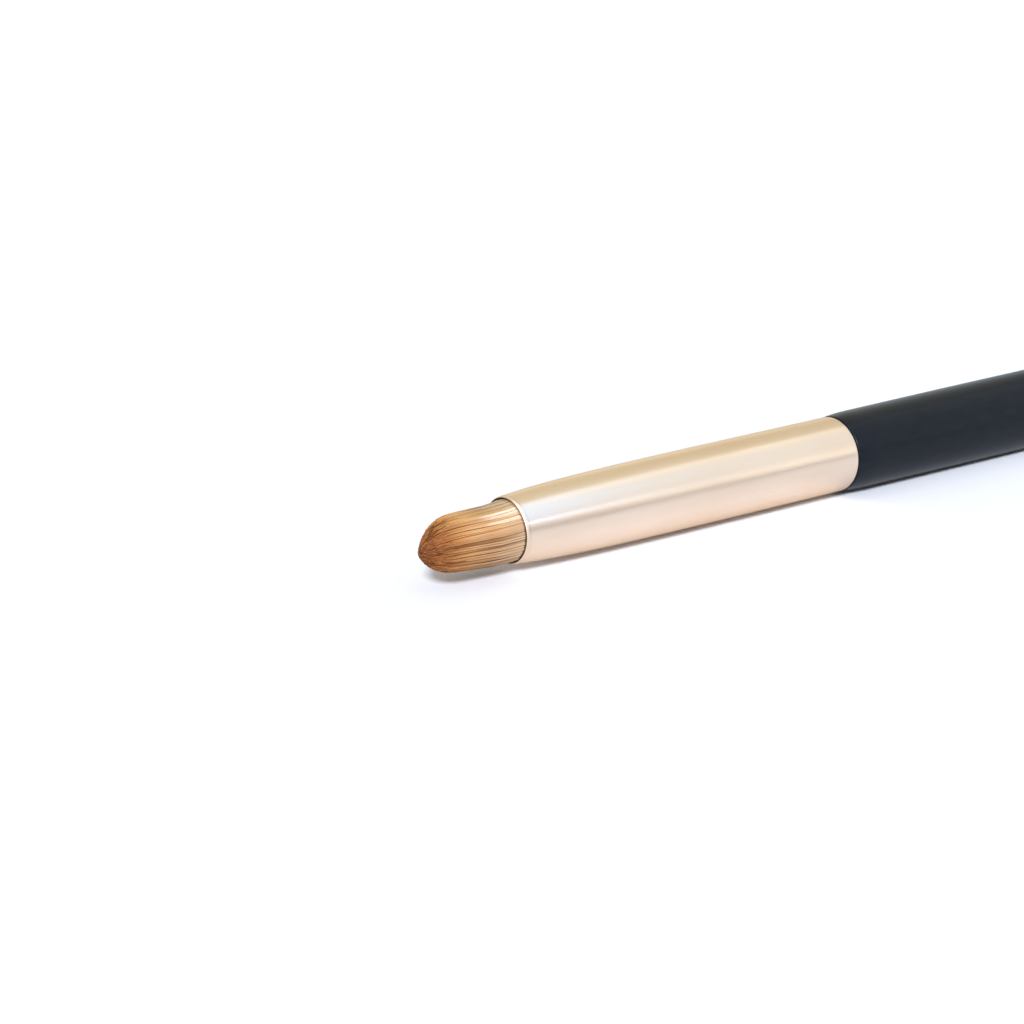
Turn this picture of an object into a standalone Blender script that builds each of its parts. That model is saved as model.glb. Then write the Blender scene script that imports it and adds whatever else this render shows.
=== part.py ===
"""Concealer brush: a dome-cut bristle tuft, held by a drawn ferrule on a turned and lacquered handle.

The brush lies on its side. +X runs along its axis from the tuft to the tail and +Z is up. The origin lies
on the surface that the brush rests on, below the middle of its length. Lengths are in metres. Distances
along the axis are measured from the ferrule's mouth: the tuft stands out at negative ones, and the rest
lies behind it.
"""

import math
import random

import bmesh
import bpy
from mathutils import Vector

# Ferrule: a drawn aluminium tube, narrower at the mouth
MOUTH_RADIUS = 0.00340
FERRULE_SWELL = 0.00067  # how much wider the tube is behind its taper
FERRULE_TAPER = 0.00710  # distance over which most of the taper happens
FERRULE_LENGTH = 0.04500
FERRULE_WALL = 0.00025
FERRULE_REAR_ROUND = 0.00018
FERRULE_STATIONS = 14

# Tuft: strands that run forwards from a slice of their bonded roots
TUFT_CLEARANCE = 0.00010  # between the outer strands and the lip
TUFT_LENGTH = 0.01080
DOME_LENGTH = 0.00530  # the part of the tuft's length that the dome cut rounds off
DOME_POWER = 1.82
STRAND_RINGS = 8  # a disc of n rings holds 6 n squared strands
STRAND_GAP = 0.00008
STRAND_KNEE_SHARE = 0.62  # where a strand starts to taper, as a share of its free length
STRAND_KNEE_THICKNESS_SHARE = 0.92
STRAND_TIP_THICKNESS_SHARE = 0.30
PINCH_SHARE = 0.06  # how far the tips draw in towards the axis
LENGTH_SCATTER_SHARE = 0.012
ROOT_SCATTER_SHARE = 0.14
SCATTER_SEED = 11

# Bonded roots, inside the ferrule: a bound waist, and a flare that can't pass the mouth
ROOT_DEPTH = 0.00300
ROOT_LENGTH = 0.00700
ROOT_NECK_LENGTH = 0.00100
ROOT_WAIST_DEPTH = 0.00020
ROOT_FLARE_LENGTH = 0.00200

# Binding thread, wound round the waist of the roots
THREAD_DIAMETER = 0.00034
THREAD_PITCH = 0.00080
THREAD_TURNS = 3
THREAD_POINTS_A_TURN = 24
THREAD_END = 0.00034  # the straight end of the thread, where it leaves the winding

# Glue: the resin plug behind the roots, and the film between tenon and ferrule
BOND_GAP = 0.00010
PLUG_OVERLAP = 0.00150  # how far the plug reaches forwards round the flare
PLUG_CUP_WALL = 0.00025  # resin between the flare and the ferrule
PLUG_LENGTH = 0.00600
PLUG_MENISCUS = 0.00060
MENISCUS_RING_SHARES = (0.75, 0.4)
GLUE_FILM = 0.00015
GLUE_FILM_SETBACK = 0.00080  # from either end of the tenon

# Handle: a turned rod, with a grooved tenon that the ferrule covers
TENON_AIR_SPACE = 0.00700  # left between the plug and the tenon
TENON_CHAMFER = 0.00060
GROOVE_COUNT = 4
GROOVE_MARGIN = 0.00500  # from either end of the tenon to the nearest groove
GROOVE_WIDTH = 0.00090
GROOVE_DEPTH = 0.00024
SHOULDER_ROUND = 0.00018
SHOULDER_SWELL = 0.00018  # how much the handle swells out behind the ferrule, from flush with it
SHOULDER_LENGTH = 0.00300  # the distance over which it does
SHOULDER_STATIONS = 5
HANDLE_LENGTH = 0.11500  # from the shoulder to the tail
BELLY_DISTANCE = 0.03600  # from the shoulder to the thickest place
BELLY_SWELL = 0.00017  # how much the handle widens on the way there
TAIL_RADIUS = 0.00265
TAIL_ROUND = 0.00120
TAPER_POWER = 1.45
HANDLE_STATIONS = 11

# Facets: the handle's flats lie down, so that the brush doesn't roll
HANDLE_SIDES = 32
FERRULE_SIDES = 48
ROUND_STEPS = 4
PLUG_STATIONS = 5
FILM_STATIONS = 3
MERGE_DISTANCE = 1e-8

# Sizes that follow from the ones above
FERRULE_REAR_RADIUS = MOUTH_RADIUS + FERRULE_SWELL
TUFT_RADIUS = MOUTH_RADIUS - FERRULE_WALL - TUFT_CLEARANCE
ROOT_END = ROOT_DEPTH + ROOT_LENGTH
ROOT_WAIST_START = ROOT_DEPTH + ROOT_NECK_LENGTH
ROOT_FLARE_START = ROOT_END - ROOT_FLARE_LENGTH
ROOT_WAIST_RADIUS = TUFT_RADIUS - ROOT_WAIST_DEPTH
PLUG_START = ROOT_END - PLUG_OVERLAP
PLUG_END = ROOT_END + PLUG_LENGTH
TENON_START = PLUG_END + TENON_AIR_SPACE
SHOULDER = FERRULE_LENGTH + BOND_GAP
SHOULDER_END = SHOULDER + SHOULDER_LENGTH
BELLY = SHOULDER + BELLY_DISTANCE
BELLY_RADIUS = FERRULE_REAR_RADIUS + SHOULDER_SWELL + BELLY_SWELL
TAIL_END = SHOULDER + HANDLE_LENGTH
AXIS_HEIGHT = BELLY_RADIUS * math.cos(math.pi / HANDLE_SIDES)
MOUTH_X = TUFT_LENGTH - (TUFT_LENGTH + TAIL_END) / 2


def ferrule_radius(distance):
    """Outer radius of the ferrule: it narrows towards the mouth along a soft curve."""
    return FERRULE_REAR_RADIUS - FERRULE_SWELL * math.exp(-distance / FERRULE_TAPER)


def bore_radius(distance):
    """Inner radius of the ferrule."""
    return ferrule_radius(distance) - FERRULE_WALL


TENON_RADIUS = bore_radius(TENON_START) - GLUE_FILM - 2 * BOND_GAP
ROOT_FLARE_RADIUS = bore_radius(ROOT_END) - PLUG_CUP_WALL - 2 * BOND_GAP


def spaced(start, stop, count, power=1.0):
    """count distances from start to stop, closer together near the start where the power is over 1."""
    return [start + (stop - start) * (i / (count - 1)) ** power for i in range(count)]


def arc(centre, radius, start, stop, steps=ROUND_STEPS):
    """Points of a rounded edge, as (distance, radius) pairs, between two angles in degrees."""
    angles = [math.radians(a) for a in spaced(start, stop, steps + 1)]
    return [(centre[0] + radius * math.cos(a), centre[1] + radius * math.sin(a)) for a in angles]


def finish_mesh(name, bm, material, parent, crease_degrees=30.0):
    """Turns a bmesh into a smooth-shaded object with its own material."""
    bmesh.ops.recalc_face_normals(bm, faces=bm.faces)
    mesh = bpy.data.meshes.new(name)
    bm.to_mesh(mesh)
    bm.free()
    mesh.shade_smooth()
    mesh.set_sharp_from_angle(angle=math.radians(crease_degrees))
    mesh.materials.append(material)
    obj = bpy.data.objects.new(name, mesh)
    bpy.context.scene.collection.objects.link(obj)
    obj.parent = parent
    return obj


def turned(name, outline, sides, material, parent):
    """A turned solid. Its outline's points, (distance, radius), run from axis to axis or close up."""
    bm = bmesh.new()
    half_side = math.pi / sides
    points = [bm.verts.new((x, r * math.sin(half_side), r * math.cos(half_side))) for x, r in outline]
    edges = [bm.edges.new(pair) for pair in zip(points, points[1:])]
    if outline[0][1] > 0:
        edges.append(bm.edges.new((points[-1], points[0])))
    bmesh.ops.spin(
        bm,
        geom=points + edges,
        cent=(0, 0, 0),
        axis=(1, 0, 0),
        angle=2 * math.pi,
        steps=sides,
        use_merge=True,
    )
    bmesh.ops.remove_doubles(bm, verts=bm.verts, dist=MERGE_DISTANCE)
    return finish_mesh(name, bm, material, parent)


def make_material(name, colour, roughness, metallic=0.0):
    material = bpy.data.materials.new(name)
    material.use_nodes = True
    shader = material.node_tree.nodes["Principled BSDF"]
    shader.inputs["Base Color"].default_value = (*colour, 1.0)
    shader.inputs["Roughness"].default_value = roughness
    shader.inputs["Metallic"].default_value = metallic
    return material


def make_ferrule(parent):
    """The tube: a full-round lip at the mouth, a soft taper, and a broken edge against the handle."""
    half_wall = FERRULE_WALL / 2
    lip_centre = (half_wall, ferrule_radius(half_wall) - half_wall)
    rear_centre = (FERRULE_LENGTH - FERRULE_REAR_ROUND, FERRULE_REAR_RADIUS - FERRULE_REAR_ROUND)
    stations = spaced(half_wall, FERRULE_LENGTH, FERRULE_STATIONS, power=1.7)[1:-1]
    outline = arc(lip_centre, half_wall, 270, 90, 2 * ROUND_STEPS)
    outline += [(x, ferrule_radius(x)) for x in stations]
    outline += arc(rear_centre, FERRULE_REAR_ROUND, 90, 0)
    outline.append((FERRULE_LENGTH, bore_radius(FERRULE_LENGTH)))
    outline += [(x, bore_radius(x)) for x in reversed(stations)]
    satin = make_material("champagne_aluminium", (0.78, 0.60, 0.42), 0.34, 1.0)
    return turned("ferrule", outline, FERRULE_SIDES, satin, parent)


def groove_places():
    """Distances of the glue grooves, evenly spaced along the tenon."""
    return spaced(TENON_START + GROOVE_MARGIN, FERRULE_LENGTH - GROOVE_MARGIN, GROOVE_COUNT)


def tenon_outline(clearance, start, stop):
    """The grooved side of the tenon, grown by a clearance, between two distances."""
    side = TENON_RADIUS + clearance
    points = [(start, side)]
    for place in groove_places():
        points.append((place - GROOVE_WIDTH / 2, side))
        points.append((place, side - GROOVE_DEPTH))
        points.append((place + GROOVE_WIDTH / 2, side))
    points.append((stop, side))
    return points


def shoulder_radius(distance):
    """Radius of the lacquered rod where it swells out from flush with the ferrule."""
    left = (SHOULDER_END - distance) / SHOULDER_LENGTH
    return FERRULE_REAR_RADIUS + SHOULDER_SWELL * (1 - left**2)


def handle_radius(distance):
    """Radius of the lacquered rod behind its belly: a long taper to the tail."""
    fall = (distance - BELLY) / (TAIL_END - BELLY)
    return BELLY_RADIUS - (BELLY_RADIUS - TAIL_RADIUS) * fall**TAPER_POWER


def make_handle(parent):
    """The rod: a tenon, a shoulder, a straight cone out to the belly, on which it lies, and a tail."""
    shoulder_centre = (SHOULDER + SHOULDER_ROUND, FERRULE_REAR_RADIUS - SHOULDER_ROUND)
    shoulder_places = spaced(shoulder_centre[0], SHOULDER_END, SHOULDER_STATIONS)[1:]
    tail_start = TAIL_END - TAIL_ROUND
    tail_centre = (tail_start, handle_radius(tail_start) - TAIL_ROUND)
    outline = [(TENON_START, 0.0), (TENON_START, TENON_RADIUS - TENON_CHAMFER)]
    outline += tenon_outline(0.0, TENON_START + TENON_CHAMFER, SHOULDER)
    outline += arc(shoulder_centre, SHOULDER_ROUND, 180, 90)
    outline += [(x, shoulder_radius(x)) for x in shoulder_places]
    outline += [(x, handle_radius(x)) for x in spaced(BELLY, tail_start, HANDLE_STATIONS)[:-1]]
    outline += arc(tail_centre, TAIL_ROUND, 90, 0)
    outline.append((TAIL_END, 0.0))
    lacquer = make_material("black_lacquer", (0.022, 0.027, 0.033), 0.38)
    return turned("handle", outline, HANDLE_SIDES, lacquer, parent)


def make_tenon_glue(parent):
    """The film that fills the grooves and bonds the tenon into the ferrule."""
    start = TENON_START + TENON_CHAMFER + GLUE_FILM_SETBACK
    stop = FERRULE_LENGTH - GLUE_FILM_SETBACK
    outline = tenon_outline(BOND_GAP, start, stop)
    outline += [(x, bore_radius(x) - BOND_GAP) for x in reversed(spaced(start, stop, FILM_STATIONS))]
    glue = make_material("cured_glue", (0.62, 0.50, 0.30), 0.35)
    return turned("tenon_glue_film", outline, FERRULE_SIDES, glue, parent)


def root_outline():
    """Side of the bonded roots behind their front face: a neck, a bound waist and a flare."""
    return [
        (ROOT_WAIST_START, TUFT_RADIUS),
        (ROOT_WAIST_START + ROOT_WAIST_DEPTH, ROOT_WAIST_RADIUS),
        (ROOT_FLARE_START, ROOT_WAIST_RADIUS),
        (ROOT_END, ROOT_FLARE_RADIUS),
    ]


def make_root_glue_plug(parent):
    """Resin poured in from behind: it cups the flared roots, and its back has sunk to a shallow dish."""
    flare_share = (PLUG_START - ROOT_FLARE_START) / ROOT_FLARE_LENGTH
    cup_front = ROOT_WAIST_RADIUS + (ROOT_FLARE_RADIUS - ROOT_WAIST_RADIUS) * flare_share + BOND_GAP
    cup_floor = ROOT_END + BOND_GAP
    outline = [(cup_floor, 0.0), (cup_floor, ROOT_FLARE_RADIUS + BOND_GAP), (PLUG_START, cup_front)]
    outline += [(x, bore_radius(x) - BOND_GAP) for x in spaced(PLUG_START, PLUG_END, PLUG_STATIONS)]
    rim = bore_radius(PLUG_END) - BOND_GAP
    for share in MENISCUS_RING_SHARES:
        outline.append((PLUG_END - PLUG_MENISCUS * (1 - share**2), rim * share))
    outline.append((PLUG_END - PLUG_MENISCUS, 0.0))
    resin = make_material("epoxy_resin", (0.70, 0.55, 0.25), 0.15)
    return turned("root_glue_plug", outline, FERRULE_SIDES, resin, parent)


def wound_points():
    """Centre line of the binding thread: a helix round the waist, with a straight stretch at each end."""
    start = (ROOT_WAIST_START + ROOT_FLARE_START - THREAD_PITCH * THREAD_TURNS) / 2
    radius = ROOT_WAIST_RADIUS + BOND_GAP + THREAD_DIAMETER / 2
    points = []
    for i in range(THREAD_TURNS * THREAD_POINTS_A_TURN + 1):
        turns = i / THREAD_POINTS_A_TURN
        angle = 2 * math.pi * turns
        x = start + THREAD_PITCH * turns
        points.append(Vector((x, radius * math.sin(angle), radius * math.cos(angle))))
    run = Vector((0, 1, 0)) * THREAD_END
    return [points[0] - run, *points, points[-1] + run]


def least_gap(points, diameter, apart):
    """Least gap between stretches of a tube that lie at least this many points apart."""
    return min((a - b).length for i, a in enumerate(points) for b in points[i + apart :]) - diameter


def make_binding_thread(parent):
    """The tie: one unbroken thread, wound round the waist of the roots."""
    points = wound_points()
    curve = bpy.data.curves.new("binding_thread", "CURVE")
    curve.dimensions = "3D"
    curve.bevel_depth = THREAD_DIAMETER / 2
    curve.bevel_resolution = 1
    curve.use_fill_caps = True
    spline = curve.splines.new("POLY")
    spline.points.add(len(points) - 1)
    for place, point in zip(spline.points, points):
        place.co = (*point, 1.0)
    gap = least_gap(points, THREAD_DIAMETER, THREAD_POINTS_A_TURN // 2)
    print(f"Binding thread, least gap to itself: {gap * 1000:.3f} mm")
    curve.materials.append(make_material("waxed_thread", (0.75, 0.70, 0.62), 0.8))
    obj = bpy.data.objects.new("binding_thread", curve)
    bpy.context.scene.collection.objects.link(obj)
    obj.parent = parent
    return obj


def ring_disc(bm, rings, radius, x, scatter):
    """A flat disc of triangles at x: ring k has 6 k points, and the inner ones are scattered a little."""
    step = radius / rings
    rows = [[bm.verts.new((x, 0, 0))]]
    for k in range(1, rings + 1):
        row = []
        for i in range(6 * k):
            angle = 2 * math.pi * i / (6 * k)
            point = Vector((x, k * step * math.sin(angle), k * step * math.cos(angle)))
            if k < rings:
                reach = step * ROOT_SCATTER_SHARE
                point += Vector((0, scatter.uniform(-reach, reach), scatter.uniform(-reach, reach)))
            row.append(bm.verts.new(point))
        rows.append(row)
    for k in range(1, rings + 1):
        outer, inner = rows[k], rows[k - 1]
        for sector in range(6):
            for i in range(k):
                first = outer[(sector * k + i) % len(outer)]
                second = outer[(sector * k + i + 1) % len(outer)]
                below = inner[(sector * (k - 1) + i) % len(inner)]
                bm.faces.new((first, second, below))
                if i < k - 1:
                    beside = inner[(sector * (k - 1) + i + 1) % len(inner)]
                    bm.faces.new((second, beside, below))
    return rows[-1]


def tip_distance(share):
    """How far from the mouth a strand ends: its share is its place between the axis and the tuft's side."""
    return TUFT_LENGTH - DOME_LENGTH + DOME_LENGTH * (1 - share**DOME_POWER) ** (1 / DOME_POWER)


def grow_strand(bm, face, scatter):
    """Draws one strand out of its root face: straight as far as the knee, then tapering to the tip."""
    root = face.calc_center_median()
    share = math.hypot(root.y, root.z) / TUFT_RADIUS
    reach = tip_distance(share * (1 - PINCH_SHARE))
    reach *= 1 + scatter.uniform(-LENGTH_SCATTER_SHARE, 0)
    centre = root.copy()
    thickness = 1.0
    for free_share, next_thickness in (
        (STRAND_KNEE_SHARE, STRAND_KNEE_THICKNESS_SHARE),
        (1.0, STRAND_TIP_THICKNESS_SHARE),
    ):
        draw_in = 1 - PINCH_SHARE * free_share**2
        next_centre = Vector((-reach * free_share, root.y * draw_in, root.z * draw_in))
        face = bmesh.ops.extrude_discrete_faces(bm, faces=[face])["faces"][0]
        for vert in face.verts:
            vert.co = next_centre + (vert.co - centre) * (next_thickness / thickness)
        centre, thickness = next_centre, next_thickness


def make_bristle_tuft(parent):
    """The strands and the slice of bonded roots that they grow from, as one closed body."""
    scatter = random.Random(SCATTER_SEED)
    bm = bmesh.new()
    rim = ring_disc(bm, STRAND_RINGS, TUFT_RADIUS, ROOT_DEPTH, scatter)
    cells = list(bm.faces)
    edges = [bm.edges.get((rim[i - 1], rim[i])) for i in range(len(rim))]
    for x, radius in root_outline():
        made = bmesh.ops.extrude_edge_only(bm, edges=edges)["geom"]
        edges = [item for item in made if isinstance(item, bmesh.types.BMEdge)]
        for vert in (item for item in made if isinstance(item, bmesh.types.BMVert)):
            side = Vector((0, vert.co.y, vert.co.z)).normalized() * radius
            vert.co = Vector((x, side.y, side.z))
    bmesh.ops.edgeloop_fill(bm, edges=edges)
    bmesh.ops.recalc_face_normals(bm, faces=bm.faces)
    bmesh.ops.inset_individual(bm, faces=cells, thickness=STRAND_GAP / 2, use_even_offset=True)
    for cell in cells:
        grow_strand(bm, cell, scatter)
    fibre = make_material("tan_fibre", (0.52, 0.30, 0.15), 0.45)
    return finish_mesh("bristle_tuft", bm, fibre, parent)


def build():
    for old in list(bpy.data.objects):
        bpy.data.objects.remove(old)
    axis = bpy.data.objects.new("brush_axis", None)
    axis.location = (MOUTH_X, 0, AXIS_HEIGHT)
    bpy.context.scene.collection.objects.link(axis)
    make_bristle_tuft(axis)
    make_binding_thread(axis)
    make_root_glue_plug(axis)
    make_ferrule(axis)
    make_tenon_glue(axis)
    make_handle(axis)


build()
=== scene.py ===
"""The looks of a concealer brush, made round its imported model: fine hair, satin ferrule, lacquered handle.

Lengths are in metres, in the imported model's frame. The brush lies on its side, +X runs along its axis from
the tuft to the tail and +Z is up. Distances are measured from the ferrule's mouth: towards the tail for the
ferrule and the handle, and towards the tip for the free hair.
"""

import math
import random

import bmesh
import bpy
from mathutils import Euler, Matrix, Vector


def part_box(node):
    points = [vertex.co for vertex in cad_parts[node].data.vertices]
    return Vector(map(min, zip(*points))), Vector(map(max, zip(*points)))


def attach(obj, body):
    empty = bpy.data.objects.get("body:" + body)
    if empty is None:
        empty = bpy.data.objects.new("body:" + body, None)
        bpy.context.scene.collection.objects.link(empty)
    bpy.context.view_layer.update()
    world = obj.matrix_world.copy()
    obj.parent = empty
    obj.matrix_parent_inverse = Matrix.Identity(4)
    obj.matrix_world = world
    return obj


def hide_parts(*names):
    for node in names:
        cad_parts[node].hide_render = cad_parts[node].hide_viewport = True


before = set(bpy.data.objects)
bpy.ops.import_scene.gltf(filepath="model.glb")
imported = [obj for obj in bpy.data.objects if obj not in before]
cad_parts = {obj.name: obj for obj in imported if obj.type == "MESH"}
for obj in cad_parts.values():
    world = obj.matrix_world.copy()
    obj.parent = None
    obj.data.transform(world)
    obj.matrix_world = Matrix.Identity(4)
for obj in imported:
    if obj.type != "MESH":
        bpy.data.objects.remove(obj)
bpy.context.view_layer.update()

bl_info = {
    "name": "Concealer brush",
    "version": (1, 0, 0),
    "blender": (4, 5, 0),
    "location": "View3D > Sidebar > Brush",
    "description": "Makes the hair, metal, lacquer and studio of a concealer brush round its packed model",
    "category": "Add Mesh",
}

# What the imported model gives
TUFT_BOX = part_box("bristle_tuft")
FERRULE_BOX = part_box("ferrule")
HANDLE_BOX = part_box("handle")
MOUTH_X = FERRULE_BOX[0].x
FERRULE_LENGTH = FERRULE_BOX[1].x - MOUTH_X
TUFT_LENGTH = MOUTH_X - TUFT_BOX[0].x
ROOT_END = TUFT_BOX[1].x - MOUTH_X
TAIL_END = HANDLE_BOX[1].x - MOUTH_X
TENON_START = HANDLE_BOX[0].x - MOUTH_X
AXIS_HEIGHT = (HANDLE_BOX[0].z + HANDLE_BOX[1].z) / 2

# Sizes that the pieces share with the solids that they replace
MOUTH_RADIUS = 0.00340
FERRULE_SWELL = 0.00067
FERRULE_TAPER = 0.00710
FERRULE_WALL = 0.00025
FERRULE_REAR_ROUND = 0.00018
TUFT_RADIUS = 0.00305
ROOT_DEPTH = 0.00300
ROOT_WAIST_START = 0.00400
ROOT_WAIST_DEPTH = 0.00020
ROOT_FLARE_LENGTH = 0.00200
ROOT_FLARE_RADIUS = 0.00320
TENON_RADIUS = 0.00344
TENON_CHAMFER = 0.00060
GROOVE_COUNT = 4
GROOVE_MARGIN = 0.00500
GROOVE_WIDTH = 0.00090
GROOVE_DEPTH = 0.00024
SHOULDER_GAP = 0.00010
SHOULDER_ROUND = 0.00018
SHOULDER_SWELL = 0.00018
SHOULDER_LENGTH = 0.00300
BELLY_DISTANCE = 0.03600
TAIL_RADIUS = 0.00265
TAIL_ROUND = 0.00120
TAPER_POWER = 1.45
SHOULDER = FERRULE_LENGTH + SHOULDER_GAP
SHOULDER_RADIUS = MOUTH_RADIUS + FERRULE_SWELL
BELLY = SHOULDER + BELLY_DISTANCE

# The dome that the hair is cut to
TIP_REACH_SHARE = 1.004  # of the solid tuft's reach
DOME_LENGTH = 0.00480
DOME_POWER = 2.75
DOME_ROUNDNESS = 1.25
BLUNT_SHARE = 0.14  # of the tuft's radius, inside which the strands are cut to one length
TIP_REACH = TUFT_LENGTH * TIP_REACH_SHARE

# How the tuft swells, narrows and bends along its length
MOUTH_SWELL_SHARE = 0.03
MOUTH_SWELL_FADE = 12  # the swell is gone within a twelfth of the tuft's length
PINCH_SHARE = 0.12  # how far the tip draws in towards the axis
TIP_SHARE = 0.10  # of the tuft's radius, as narrow as the dome counts where it draws strands in
MOUTH_SAG_SHARE = 0.2  # of the sag, which the mouth already has
SAG_GROWTH = 5  # how much of the sag would come within the tuft's length, if it went on growing
SAG_SLANT = 0.15  # how much less the top sinks, and how much more the underside
LIFT_POWER = 2
DROOP_POWER = 6

# Strands: how far each scatters by chance, and how it tapers
ROOT_SCATTER = 0.55  # of a strand's thickness
STRAY = 0.3  # of a strand's thickness, at its tip
CENTRE_SCATTER = 0.5  # of the space between two locks or bundles
CUT_SCATTER = (-0.020, 0.008)  # of a strand's reach
HALF_SCATTER = (0.45, 0.75)  # half a strand's width, as a share of its thickness
GATHERING_POWER = 1.3
STRAND_TAPER_SHARE = 0.35  # of a strand's width, lost at its tip
STRAND_TAPER_POWER = 3
RING_SHARES = (0.0, 0.10, 0.32, 0.54, 0.72, 0.86, 0.95, 1.0)  # of a strand's free length

# The ferrule's lip, rounded towards the outside and the bore
LIP_LENGTH = 0.00042
LIP_DEPTH = 0.00007
LIP_INNER_LENGTH = 0.00045
LIP_COLOUR_SHARE = 0.6  # of the lip's length, from the mouth
BORE_FACING = -0.35  # a face of the bore looks at the axis more squarely than this

# How finely the turned pieces are divided. A spacing over 1 crowds the circles at the front
TURNED_SIDES = 160
ROOT_SIDES = 96
LIP_STEPS = 12
TUBE_MARGIN = 0.0004  # from the mouth and the rear edge to the nearest circle of the tube
TUBE_CIRCLES = 56
TUBE_SPACING = 1.5
FRONT_MARGIN = 2 * SHOULDER_ROUND
FRONT_CIRCLES = 40
FRONT_SPACING = 1.6
BACK_MARGIN = 1.5 * TAIL_ROUND
BACK_CIRCLES = 48
MERGE_DISTANCE = 1e-8
CIRCLE_TOLERANCE = 1e-6
ROUND_TOLERANCE = 0.1  # of the width of a rounded edge
GOLDEN_ANGLE = math.pi * (3 - math.sqrt(5))

# Looks of the hair: tints multiply its colour, lights and shades are shares of its brightness. The top's
# tint and top lights are painted light on the tuft's upper side; the gap's tint and the shades are painted
# shade
PAINTED_TOP_TINT = (1.0, 1.09, 1.02)
GAP_SHADE_TINT = (0.88, 0.70, 0.50)
HAIR_LIGHT = 0.72
STRAND_SPREAD = 0.30
STRAND_TIP_SPREAD = 0.7
LOCK_SPREAD = 0.45
LOCK_TIP_SPREAD = 0.25
TOP_PAINTED_LIGHT = 0.12
PAINTED_MOUTH_TOP_LIGHT = 0.16
BAND_SHADE = 0.06
GAP_SHADE = 0.34
SCALE_TILT = 0.40  # how far the scales of the hair turn its shine towards the tip

# Where the dipped tips begin: a strand, a lock and a gap each shift it, as shares of the tuft's length. The
# gap's shift is painted shade, which browns the locks that stand for gaps
DIP_STRAND_SHIFT = 0.16
DIP_LOCK_SHIFT = 0.10
DIP_GAP_SHADE_SHIFT = 0.22
DIP_START_SHIFT = 0.11

# Looks of the metal and the lacquer. The bore's colour is painted shade inside the ferrule's mouth
BORE_SHADE_COLOUR = (0.10, 0.058, 0.035)
BORE_ROUGHNESS = 0.3
LIP_COLOUR = (0.78, 0.62, 0.48)
LIP_ROUGHNESS = 0.2
METAL_EDGE_TINT = (0.74, 0.64, 0.52)
METAL_CLOUD_TINT = (0.97, 0.955, 0.93)
LACQUER_CLOUD_LIGHT = 1.35

# Looks of the rest: each piece's two colours run into each other
ROOT_COLOURS = ((0.20, 0.10, 0.045), (0.46, 0.27, 0.13))
THREAD_COLOURS = ((0.50, 0.44, 0.35), (0.78, 0.73, 0.64))
RESIN_COLOURS = ((0.52, 0.33, 0.10), (0.78, 0.62, 0.32))
GLUE_COLOURS = ((0.50, 0.38, 0.20), (0.70, 0.58, 0.38))
BOARD_COLOURS = ((0.96, 0.96, 0.97), (0.98, 0.98, 0.99))

# Patterns, in waves per metre along each axis, and how deep they lie
ROOT_GRAIN_WAVES = (400.0, 9000.0, 9000.0)
ROOT_GRAIN_DEPTH = 0.00003
DRAWN_WAVES = (60.0, 14000.0, 14000.0)
DRAWN_DEPTH = 0.0000015
METAL_CLOUD_WAVES = (90.0, 500.0, 500.0)
LACQUER_WAVES = (500.0, 1600.0, 1600.0)
LACQUER_DEPTH = 0.000002
DUST_WAVES = (9000.0, 9000.0, 9000.0)
PLY_WAVES = (9000.0, 9000.0, 9000.0)
PLY_DEPTH = 0.00002
RESIN_WAVES = (900.0, 900.0, 900.0)
DRAG_WAVES = (200.0, 2500.0, 2500.0)
DRAG_DEPTH = 0.00003
BOARD_WAVES = (40.0, 40.0, 40.0)
NOISE_MIDDLE = 0.5  # of the range of a noise

# Light. A softbox has a name, two angles in degrees, from the brush's axis and round it, a width, a depth,
# a brightness and a colour
ROOM_COLOUR = (1.0, 1.0, 1.0, 1.0)
KEY_DIRECTION = (-1.1, -1.1, 1.0)  # from the brush towards the lamp
KEY_COLOUR = (0.82, 0.88, 1.0)
SOFTBOX_DISTANCE = 0.5
SOFTBOXES = (
    ("front", 62.0, 16.0, 0.640, 0.105, 0.38, (1.0, 0.94, 0.88)),
    ("window", 71.0, 27.0, 0.287, 0.044, 4.50, (0.50, 0.67, 1.0)),
    ("overhead", 69.0, 64.0, 0.287, 0.476, 1.50, (0.42, 0.66, 1.0)),
    ("backdrop", 61.0, 127.0, 0.430, 0.679, 0.42, (1.0, 0.90, 0.45)),
    ("horizon", 57.0, 166.0, 0.460, 0.200, 0.62, (0.72, 0.88, 1.0)),
    ("rim_light", 94.5, 82.0, 0.150, 0.270, 5.5, (0.78, 0.86, 1.0)),
    ("left_wall", 122.0, 70.0, 0.420, 0.700, 0.80, (1.0, 0.91, 0.72)),
    ("far_wall", 37.0, 55.0, 0.287, 0.560, 0.65, (0.94, 1.0, 0.94)),
)

# The photograph's camera: its picture and sensor are square, and its angles are in degrees
PICTURE_PIXELS = 1024
MOUTH_PIXEL = (505.770, 530.537)  # where the mouth's centre falls, from the upper left corner
CAMERA_DISTANCE = 0.27920
CAMERA_AZIMUTH = -38.818
CAMERA_ELEVATION = 16.598
CAMERA_CLIP_START = 0.01
SENSOR_MILLIMETRES = 36.0


# Shader maths


class Value:
    """A number that changes over a surface. Python's operators on it add Math nodes."""

    def __init__(self, finish, socket):
        self.finish = finish
        self.socket = socket

    def maths(self, operation, first, second):
        return self.finish.node("ShaderNodeMath", {"operation": operation}, {0: first, 1: second})

    def __add__(self, other):
        return self.maths("ADD", self, other)

    def __sub__(self, other):
        return self.maths("SUBTRACT", self, other)

    def __rsub__(self, other):
        return self.maths("SUBTRACT", other, self)

    def __mul__(self, other):
        return self.maths("MULTIPLY", self, other)

    __radd__ = __add__
    __rmul__ = __mul__


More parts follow.
